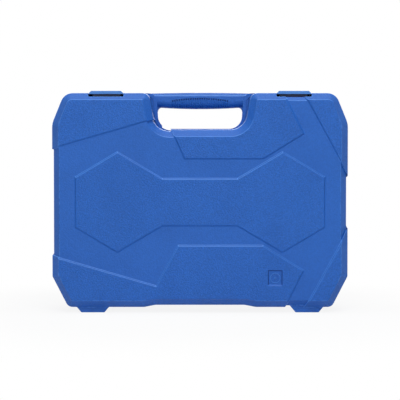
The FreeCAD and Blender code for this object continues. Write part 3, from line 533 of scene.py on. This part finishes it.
        wave = tree.maths(Op.COSINE, tree.times(turns, 2 * math.pi))
        in_flute = tree.maths(Op.GREATER_THAN, wave, tree.source["Flute Cosine"])
        in_row = tree.maths(Op.LESS_THAN, aside, tree.source["Flutes Half"])
        tree.feed(tree.result["Flute Tops"], tree.times(front, in_row, near_top, in_flute))
        return tree.tree


@dataclass(frozen=True)
class Finish:
    """One material: its colour, gloss, grain and wear, and its painted light and shade.

    Attributes:
        slot: the record's material slot that it dresses.
        colour: base colour, linear.
        shade: the colour it drifts to.
        rough: roughness where it is clean.
        scuffed: roughness where it is rubbed.
        metallic: 1 for metals.
        mottle_scale: how fine the colour drift is, per metre.
        scuff_ratio: rubbed patches per patch of colour drift.
        scuff_amount: how strong the rubbed patches are.
        grain_scale: grain cells per metre.
        grain_depth: height of the grain in metres.
        fleck_scale: light and dark flecks of the grain per metre.
        fleck: how strong the flecks of painted light and shade are.
        gloss: strength of the surface's mirror-like share, 0.5 for plain plastic.
        pocket: the painted shade colour inside the latch pockets, for plastic that lines them.
        rubbed: the paler colour of edges: a painted highlight where they face upwards, and wear where
            hands and shelves meet the border.
        recess: the painted shade colour of the square recess's upper and side walls and of the flutes'
            tops.
        crease: the painted highlight colour of the line along the handle's top edge.
        part: which part of a piece it dresses, where a slot has more than one finish.
    """

    slot: Slot
    colour: Colour
    shade: Colour
    rough: float
    scuffed: float
    metallic: float = 0.0
    mottle_scale: float = 18.0
    scuff_ratio: float = 2.0
    scuff_amount: float = 0.5
    grain_scale: float = 900.0
    grain_depth: float = 0.0
    fleck_scale: float = 450.0
    fleck: float = 0.0
    gloss: float = 0.5
    pocket: Colour | None = None
    rubbed: Colour | None = None
    recess: Colour | None = None
    crease: Colour | None = None
    part: str = "body"

    def build(self, effects: Effects) -> bpy.types.Material:
        """Makes the material.

        Args:
            effects: the shared node groups.

        Returns:
            The finished material.
        """
        material = bpy.data.materials.new(f"finish_{self.slot.value}_{self.part}")
        material.use_nodes = True
        material.diffuse_color = opaque(self.colour)
        tree = Tree(material.node_tree)
        shader = material.node_tree.nodes["Principled BSDF"]
        shader.inputs["Metallic"].default_value = self.metallic
        shader.inputs["Specular IOR Level"].default_value = self.gloss
        tree.feed(shader.inputs["Base Color"], self.colour_with_wear_and_painted_light(tree, effects))
        tree.feed(shader.inputs["Roughness"], self.worn_gloss(tree, effects))
        if self.grain_depth:
            tree.feed(shader.inputs["Normal"], self.grained_normal(tree, effects))
        return material

    def colour_with_wear_and_painted_light(self, tree: Tree, effects: Effects) -> bpy.types.NodeSocket:
        """The colour with its drift and flecks, and then its wear and its painted highlights and shade.

        Args:
            tree: the material's tree.
            effects: the shared node groups.

        Returns:
            The colour's socket.
        """
        colour = tree.group(
            effects.mottle,
            Colour=opaque(self.colour), Shade=opaque(self.shade), Scale=self.mottle_scale,
        )["Colour"]
        # Flecks of painted light and shade over the grain, strongest on the raised panels.
        if self.fleck:
            strength = tree.times(self.grain_share(tree), self.fleck)
            colour = tree.group(
                effects.flecks, Colour=colour, Scale=self.fleck_scale, Strength=strength
            )["Colour"]
        # Painted highlight on upward-facing edges, with patchy wear along the border.
        if self.rubbed:
            colour = tree.blend(tree.group(effects.edge_highlight_and_wear)["Mask"], colour, opaque(self.rubbed))
        # The recess's sides go back to plain colour without the painted edge highlight, and all but the
        # lower one get painted shade.
        if self.recess:
            sides = tree.group(effects.recess_sides)
            colour = tree.blend(sides["Sides"], colour, opaque(self.colour))
            colour = tree.blend(sides["Shade"], colour, opaque(self.recess))
        # Painted highlight along the handle's top edge, and painted shadow at its flutes' tops.
        if self.crease:
            wear = tree.group(effects.handle_highlight_and_shadow)
            colour = tree.blend(wear["Line"], colour, opaque(self.crease))
            colour = tree.blend(wear["Flute Tops"], colour, opaque(self.recess))
        # Painted shade: the latch pockets, and the latches' undersides at rest, darkened to navy.
        if self.pocket:
            shade = tree.group(effects.pocket_shade)["Mask"]
            colour = tree.blend(shade, colour, opaque(self.pocket))
        return colour

    def worn_gloss(self, tree: Tree, effects: Effects) -> bpy.types.NodeSocket:
        """The roughness, from clean to rubbed.

        Args:
            tree: the material's tree.
            effects: the shared node groups.

        Returns:
            The roughness's socket.
        """
        scuffs = tree.group(
            effects.scuffs, Scale=self.mottle_scale * self.scuff_ratio, Amount=self.scuff_amount
        )
        span = tree.times(scuffs["Mask"], self.scuffed - self.rough)
        return tree.maths(Op.ADD, span, self.rough)

    def grained_normal(self, tree: Tree, effects: Effects) -> bpy.types.NodeSocket:
        """The surface's direction with its grain.

        Args:
            tree: the material's tree.
            effects: the shared node groups.

        Returns:
            The normal's socket.
        """
        share = self.grain_share(tree)
        grain = tree.group(effects.grain, Scale=self.grain_scale, Depth=share)
        bump = tree.add("ShaderNodeBump")
        tree.feed(bump.inputs["Distance"], self.grain_depth)
        tree.feed(bump.inputs["Height"], grain["Height"])
        return bump.outputs["Normal"]

    def grain_share(self, tree: Tree) -> Feed:
        """How much of the grain a place has, all of it here."""
        return 1.0


@dataclass(frozen=True)
class GrainedCase(Finish):
    """Case plastic: grained on the raised panels, smoother in the channels between them.

    Attributes:
        channel_y: distance of the channels' floor from Y 0, in metres.
        raised_y: the same for the raised panels' faces.
        channel_grain: share of the grain that is left in the channels.
    """

    channel_y: float = 0.0419
    raised_y: float = 0.0427
    channel_grain: float = 0.45

    def grain_share(self, tree: Tree) -> Feed:
        """Less grain where the surface lies below the raised faces.

        Args:
            tree: the material's tree.

        Returns:
            The share's socket.
        """
        _, depth, _ = tree.axes(tree.place())
        raised = tree.ramp(tree.maths(Op.ABSOLUTE, depth), self.channel_y, self.raised_y)
        return tree.maths(Op.MULTIPLY_ADD, raised, 1.0 - self.channel_grain, self.channel_grain)


# Painted shade colour for the latch pockets.
POCKET_PAINTED_SHADE = (0.0, 0.009, 0.1)
# Painted shade colour for the recess's sides and the flutes' tops.
RECESS_PAINTED_SHADE = (0.004, 0.045, 0.23)
CASE_GRAIN = 640.0
CASE_GLOSS = 0.24
# The lid's rounded edges: a painted highlight where they face upwards, with wear along the border.
CASE_EDGES = Finish(
    Slot.CASE, colour=(0.0185, 0.12, 0.48), shade=(0.0165, 0.112, 0.455), rough=0.38, scuffed=0.48,
    grain_scale=CASE_GRAIN, grain_depth=0.0003, gloss=CASE_GLOSS, pocket=POCKET_PAINTED_SHADE,
    rubbed=(0.07, 0.23, 0.66), recess=RECESS_PAINTED_SHADE, part="edges",
)
# The dial: the case's plastic painted paler, a painted highlight on its raised ring, ticks and stud.
DIAL_PAINTED_HIGHLIGHT = Finish(
    Slot.CASE, colour=(0.042, 0.185, 0.6), shade=(0.036, 0.17, 0.56), rough=0.38, scuffed=0.48,
    gloss=CASE_GLOSS, part="dial",
)
FINISHES = (
    # The case: painted shade in the latch pockets, the recess's sides and the flutes' tops, and a painted
    # highlight along the handle's top edge.
    GrainedCase(
        Slot.CASE, colour=(0.0175, 0.116, 0.47), shade=(0.0155, 0.107, 0.44), rough=0.42, scuffed=0.50,
        grain_scale=CASE_GRAIN, grain_depth=0.0007, fleck_scale=600.0, fleck=0.4, gloss=CASE_GLOSS,
        pocket=POCKET_PAINTED_SHADE, recess=RECESS_PAINTED_SHADE, crease=(0.07, 0.205, 0.59),
    ),
    Finish(
        Slot.INNER, colour=(0.017, 0.11, 0.45), shade=(0.015, 0.1, 0.41), rough=0.38, scuffed=0.48,
        gloss=0.3,
    ),
    # The latches' undersides take the pockets' painted shade.
    Finish(
        Slot.LATCH, colour=(0.056, 0.22, 0.62), shade=(0.052, 0.208, 0.59), rough=0.36, scuffed=0.46,
        gloss=0.3, pocket=POCKET_PAINTED_SHADE,
    ),
    Finish(
        Slot.PIN, colour=(0.56, 0.56, 0.58), shade=(0.48, 0.48, 0.5), rough=0.32, scuffed=0.5,
        metallic=1.0, mottle_scale=60.0,
    ),
    Finish(
        Slot.GRIP, colour=(0.018, 0.018, 0.02), shade=(0.026, 0.026, 0.028), rough=0.62, scuffed=0.5,
        grain_scale=1600.0, grain_depth=0.0001,
    ),
    Finish(
        Slot.LEVER, colour=(0.02, 0.02, 0.021), shade=(0.028, 0.028, 0.03), rough=0.42, scuffed=0.55,
    ),
    Finish(
        Slot.DARK_STEEL, colour=(0.13, 0.13, 0.14), shade=(0.1, 0.1, 0.105), rough=0.35, scuffed=0.5,
        metallic=1.0, mottle_scale=70.0,
    ),
    Finish(
        Slot.INSERT, colour=(0.015, 0.015, 0.015), shade=(0.02, 0.02, 0.02), rough=0.75, scuffed=0.65,
    ),
    Finish(
        Slot.CHROME, colour=(0.72, 0.73, 0.75), shade=(0.64, 0.65, 0.67), rough=0.16, scuffed=0.34,
        metallic=1.0, mottle_scale=50.0,
    ),
)


@dataclass
class Wardrobe:
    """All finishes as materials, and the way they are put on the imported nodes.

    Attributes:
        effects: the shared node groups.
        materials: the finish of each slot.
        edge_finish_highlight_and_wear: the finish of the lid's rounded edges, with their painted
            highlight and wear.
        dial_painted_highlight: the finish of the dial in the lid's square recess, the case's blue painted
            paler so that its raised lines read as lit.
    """

    effects: Effects
    materials: dict[Slot, bpy.types.Material] = field(default_factory=dict)
    edge_finish_highlight_and_wear: bpy.types.Material = field(init=False)
    dial_painted_highlight: bpy.types.Material = field(init=False)

    def __post_init__(self) -> None:
        """Builds every finish."""
        for finish in FINISHES:
            self.materials[finish.slot] = finish.build(self.effects)
        self.edge_finish_highlight_and_wear = CASE_EDGES.build(self.effects)
        self.dial_painted_highlight = DIAL_PAINTED_HIGHLIGHT.build(self.effects)

    def dress_nodes(self) -> None:
        """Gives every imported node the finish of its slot."""
        for row in frame["record"]["subparts"]:
            node = frame["nodes"][row["node"]]
            node.data.materials.clear()
            node.data.materials.append(self.materials[Slot(row["material_slot"])])
            LOG.info("dressed %s in %s", row["node"], row["material_slot"])


@dataclass
class MouldedEdges:
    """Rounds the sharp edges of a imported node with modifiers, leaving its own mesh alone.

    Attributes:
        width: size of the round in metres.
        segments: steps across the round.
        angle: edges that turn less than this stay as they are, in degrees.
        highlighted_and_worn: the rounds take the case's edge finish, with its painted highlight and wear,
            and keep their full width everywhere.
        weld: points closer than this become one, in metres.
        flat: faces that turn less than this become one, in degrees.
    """

    width: float
    segments: int = 3
    angle: float = 14.0
    highlighted_and_worn: bool = False
    weld: float = 0.00001
    flat: float = 0.5

    def put_on(self, node: bpy.types.Object, wardrobe: Wardrobe) -> None:
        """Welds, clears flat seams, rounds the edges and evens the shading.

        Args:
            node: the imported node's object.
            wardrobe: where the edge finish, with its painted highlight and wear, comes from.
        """
        weld = node.modifiers.new("weld", "WELD")
        weld.merge_threshold = self.weld
        flat = node.modifiers.new("flat_faces", "DECIMATE")
        flat.decimate_type = "DISSOLVE"
        flat.angle_limit = math.radians(self.flat)
        edge = node.modifiers.new("rounded_edges", "BEVEL")
        edge.width = self.width
        edge.segments = self.segments
        edge.limit_method = "ANGLE"
        edge.angle_limit = math.radians(self.angle)
        edge.use_clamp_overlap = not self.highlighted_and_worn
        # The rounds take the edge finish with its painted highlight.
        if self.highlighted_and_worn:
            node.data.materials.append(wardrobe.edge_finish_highlight_and_wear)
            edge.material = len(node.data.materials) - 1
        shade = node.modifiers.new("even_shading", "WEIGHTED_NORMAL")
        shade.keep_sharp = False
        LOG.info("rounded the edges of %s", node.name)


SOCKET_EDGES = MouldedEdges(width=0.00035, segments=2, angle=28.0)
LATCH_EDGES = MouldedEdges(width=0.0006, angle=20.0)

# The rounds by the start of the nodes' names.
EDGE_ROUNDS = {
    "lid_shell": MouldedEdges(width=0.0007, highlighted_and_worn=True),
    "base_shell": MouldedEdges(width=0.0007),
    "latch_left": LATCH_EDGES,
    "latch_right": LATCH_EDGES,
    "lid_liner": MouldedEdges(width=0.0012, angle=25.0),
    "tool_tray": MouldedEdges(width=0.0007, segments=2, angle=35.0),
    "socket_": SOCKET_EDGES,
    "spark_socket_1": SOCKET_EDGES,
    "spark_socket_2": SOCKET_EDGES,
    "extension": MouldedEdges(width=0.0004, segments=2, angle=28.0),
    "ratchet_half_handle": MouldedEdges(width=0.0007, segments=2, angle=28.0),
    "ratchet_quarter_handle": MouldedEdges(width=0.0004, segments=2, angle=28.0),
    "ratchet_half_selector": MouldedEdges(width=0.0006, segments=2, angle=28.0),
    "ratchet_quarter_selector": MouldedEdges(width=0.0004, segments=2, angle=28.0),
}


@dataclass
class MouldDial:
    """A plain moulding dial in the square recess of the lid: a ring, ticks and a centre stud.

    Attributes:
        name: the piece's name.
        body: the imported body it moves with.
        centre: X and Z of the recess's middle.
        floor_y: Y of the recess's floor.
        ring_r: radius of the ring's crest.
        ring_w: width of the ring's foot.
        crest: half width of the ring's flat crest, as a share of its foot's width.
        stud: radius of the stud's crest, as a share of the ring's.
        height: how far the dial stands up from the floor.
        sink: how far its foot reaches into the floor.
        steps: faces round a ring.
        ticks: marks round the inside of the ring.
        tick_span: inner and outer end of a mark, as shares of the ring's radius.
        tick_half: half the angle that a mark's foot covers, in radians.
        tick_taper: width of a mark's top, as a share of its foot's.
    """

    name: str = "lid_mould_dial"
    body: str = "lid"
    centre: tuple[float, float] = RECESS_MIDDLE
    floor_y: float = -0.0418
    ring_r: float = 0.0062
    ring_w: float = 0.0014
    crest: float = 0.22
    stud: float = 0.16
    height: float = 0.0008
    sink: float = 0.0002
    steps: int = 72
    ticks: int = 12
    tick_span: tuple[float, float] = (0.66, 0.84)
    tick_half: float = 0.045
    tick_taper: float = 0.6

    def build(self, wardrobe: Wardrobe) -> None:
        """Makes the dial as one piece on the lid.

        Args:
            wardrobe: where its finish comes from.
        """
        shape = bmesh.new()
        self.add_ring(shape, self.ring_r)
        self.add_ring(shape, self.ring_r * self.stud)
        for i in range(self.ticks):
            self.add_tick(shape, 2 * math.pi * i / self.ticks)
        bmesh.ops.recalc_face_normals(shape, faces=shape.faces)
        mesh = bpy.data.meshes.new(self.name)
        shape.to_mesh(mesh)
        shape.free()
        piece = bpy.data.objects.new(self.name, mesh)
        bpy.context.scene.collection.objects.link(piece)
        # The dial's paler blue is a painted highlight on its raised lines.
        piece.data.materials.append(wardrobe.dial_painted_highlight)
        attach(piece, self.body)
        LOG.info("made %s on %s", self.name, self.body)

    def place(self, radius: float, angle: float, rise: float) -> Vector:
        """A point of the dial by radius, angle and height above the recess's floor."""
        x, z = self.centre
        return Vector((x + radius * math.cos(angle), self.floor_y - rise, z + radius * math.sin(angle)))

    def add_ring(self, shape: bmesh.types.BMesh, radius: float) -> None:
        """Adds a raised ring with sloped flanks.

        Args:
            shape: the dial's mesh.
            radius: of the ring's crest.
        """
        # Places across the ring as shares of its foot's width, with their heights.
        half = 0.5
        profile = [
            (-half, -self.sink), (-self.crest, self.height), (self.crest, self.height), (half, -self.sink)
        ]
        rows = []
        for i in range(self.steps):
            angle = 2 * math.pi * i / self.steps
            rows.append(
                [shape.verts.new(self.place(radius + self.ring_w * u, angle, v)) for u, v in profile]
            )
        for here, there in zip(rows, rows[1:] + rows[:1]):
            for k in range(len(profile)):
                m = (k + 1) % len(profile)
                shape.faces.new((here[k], there[k], there[m], here[m]))

    def add_tick(self, shape: bmesh.types.BMesh, angle: float) -> None:
        """Adds one radial mark inside the ring.

        Args:
            shape: the dial's mesh.
            angle: where the mark lies, in radians.
        """
        inner, outer = (self.ring_r * share for share in self.tick_span)
        half = self.tick_half
        feet = [(inner, -half), (outer, -half), (outer, half), (inner, half)]
        low = [shape.verts.new(self.place(r, angle + t, -self.sink)) for r, t in feet]
        top = [shape.verts.new(self.place(r, angle + t * self.tick_taper, self.height)) for r, t in feet]
        shape.faces.new(low)
        shape.faces.new(top[::-1])
        for k in range(len(feet)):
            m = (k + 1) % len(feet)
            shape.faces.new((low[k], low[m], top[m], top[k]))


@dataclass(frozen=True)
class Lamp:
    """A softbox.

    Attributes:
        name: the lamp's name.
        place: where it hangs.
        size: width and height of its face.
        power: in watts.
    """

    name: str
    place: tuple[float, float, float]
    size: tuple[float, float]
    power: float

    def hang(self, target: Vector) -> None:
        """Hangs the lamp so that it faces a point.

        Args:
            target: the point.
        """
        data = bpy.data.lights.new(self.name, "AREA")
        data.shape = "RECTANGLE"
        data.size, data.size_y = self.size
        data.energy = self.power
        lamp = bpy.data.objects.new(self.name, data)
        lamp.location = self.place
        towards = target - Vector(self.place)
        lamp.rotation_euler = towards.to_track_quat("-Z", "Y").to_euler()
        bpy.context.scene.collection.objects.link(lamp)


LAMPS = (
    Lamp("key_softbox", place=(0.12, -1.25, 1.6), size=(1.1, 0.7), power=19.5),
    Lamp("front_fill", place=(-0.2, -2.2, 0.32), size=(1.4, 1.0), power=9.5),
    Lamp("top_strip", place=(0.0, -0.1, 1.5), size=(1.3, 0.5), power=8.0),
    Lamp("rear_fill", place=(0.3, 2.2, 0.9), size=(1.4, 1.0), power=14.0),
)


@dataclass
class Studio:
    """Floor, white surround, lamps and the camera at the photograph's angle.

    Attributes:
        distance: from the camera to the parting plane, in metres.
        elevation: of the camera above the horizon, in degrees.
        frame_width: width that the picture covers at the parting plane, in metres.
        aim_height: height at the picture's centre, in metres.
        parting_y: where the case's two halves meet.
        sensor: width of the camera's sensor, in millimetres.
        sight: how far the camera sees, in metres.
        floor_size: side of the square floor.
        floor_colour: the floor as it lights the case.
        floor_rough: roughness of the floor.
        floor_white: share of plain white in the floor near the case, as the camera sees it.
        shadow_reach: distances from the case between which the floor fades to plain white.
        ambient: strength of the surround's light on matt surfaces.
    """

    distance: float = 1.8
    elevation: float = 1.6
    frame_width: float = 0.5255
    aim_height: float = 0.1452
    parting_y: float = -0.007
    sensor: float = 36.0
    sight: float = 50.0
    floor_size: float = 6.0
    floor_colour: Colour = (0.86, 0.86, 0.86)
    floor_rough: float = 0.9
    floor_white: float = 0.88
    shadow_reach: tuple[float, float] = (0.22, 0.5)
    ambient: float = 0.16

    def build(self) -> None:
        """Makes the whole studio."""
        aim = Vector((0.0, self.parting_y, self.aim_height))
        self.make_floor()
        self.make_world()
        for lamp in LAMPS:
            lamp.hang(aim)
        self.make_camera(aim)
        LOG.info("set the studio with %d lamps", len(LAMPS))

    def make_floor(self) -> None:
        """Lays a pale floor that shows white and still takes the case's shadow."""
        mesh = bpy.data.meshes.new("studio_floor")
        half = self.floor_size / 2
        corners = [(-half, -half, 0), (half, -half, 0), (half, half, 0), (-half, half, 0)]
        mesh.from_pydata(corners, [], [(0, 1, 2, 3)])
        floor = bpy.data.objects.new("studio_floor", mesh)
        bpy.context.scene.collection.objects.link(floor)
        floor.data.materials.append(self.floor_material())

    def floor_material(self) -> bpy.types.Material:
        """A pale matt floor, near white to the camera, its shadow kept faint.

        Returns:
            The floor's material.
        """
        material = bpy.data.materials.new("studio_floor_pale")
        material.use_nodes = True
        tree = Tree(material.node_tree)
        shader = material.node_tree.nodes["Principled BSDF"]
        shader.inputs["Base Color"].default_value = opaque(self.floor_colour)
        shader.inputs["Roughness"].default_value = self.floor_rough
        shader.inputs["Specular IOR Level"].default_value = 0.0
        away = tree.add("ShaderNodeVectorMath", operation="LENGTH")
        tree.feed(away.inputs["Vector"], tree.place())
        far = tree.ramp(away.outputs["Value"], *self.shadow_reach)
        white = tree.maths(Op.MULTIPLY_ADD, far, 1.0 - self.floor_white, self.floor_white)
        mix = tree.add("ShaderNodeMixShader")
        matt, bright = mix.inputs[1], mix.inputs[2]
        tree.feed(mix.inputs["Fac"], tree.times(self.seen_or_mirrored(tree), white))
        tree.feed(matt, shader.outputs["BSDF"])
        tree.feed(bright, tree.add("ShaderNodeEmission").outputs["Emission"])
        tree.feed(material.node_tree.nodes["Material Output"].inputs["Surface"], mix.outputs["Shader"])
        return material

    def make_world(self) -> None:
        """Makes the surround, white to the camera and to mirrors and a soft grey light on the rest."""
        world = bpy.data.worlds.new("studio_surround")
        bpy.context.scene.world = world
        world.use_nodes = True
        tree = Tree(world.node_tree)
        back = world.node_tree.nodes["Background"]
        white = (1.0, 1.0, 1.0)
        back.inputs["Color"].default_value = opaque(white)
        lit = tree.times(self.seen_or_mirrored(tree), 1.0 - self.ambient)
        tree.feed(back.inputs["Strength"], tree.maths(Op.ADD, lit, self.ambient))

    def seen_or_mirrored(self, tree: Tree) -> bpy.types.NodeSocket:
        """Tells rays from the camera, from mirrors and through glass from those that light matt surfaces.

        Args:
            tree: the floor's or the surround's tree.

        Returns:
            A socket that is 1 for the first kinds of ray and 0 for the others.
        """
        path = tree.add("ShaderNodeLightPath").outputs
        mirrored = tree.maths(Op.MAXIMUM, path["Is Glossy Ray"], path["Is Transmission Ray"])
        return tree.maths(Op.MAXIMUM, path["Is Camera Ray"], mirrored)

    def make_camera(self, aim: Vector) -> None:
        """Sets the camera so that the case fills the picture as it does in the photograph.

        Args:
            aim: the point at the picture's centre.
        """
        data = bpy.data.cameras.new("photo_camera")
        data.sensor_width = self.sensor
        data.lens = self.sensor * self.distance / self.frame_width
        data.clip_end = self.sight
        camera = bpy.data.objects.new("photo_camera", data)
        tilt = math.radians(self.elevation)
        back = Vector((0.0, -math.cos(tilt), math.sin(tilt)))
        camera.location = aim + back * self.distance
        camera.rotation_euler = (-back).to_track_quat("-Z", "Y").to_euler()
        bpy.context.scene.collection.objects.link(camera)
        bpy.context.scene.camera = camera


def main() -> None:
    """Dresses the case and the tools, then sets the studio."""
    logging.basicConfig(level=logging.INFO)
    bpy.context.scene.view_settings.view_transform = "Standard"
    wardrobe = Wardrobe(Effects())
    wardrobe.dress_nodes()
    for name, node in frame["nodes"].items():
        for start, edges in EDGE_ROUNDS.items():
            if name.startswith(start):
                edges.put_on(node, wardrobe)
    MouldDial().build(wardrobe)
    Studio().build()


if __name__ == "__main__":
    main()
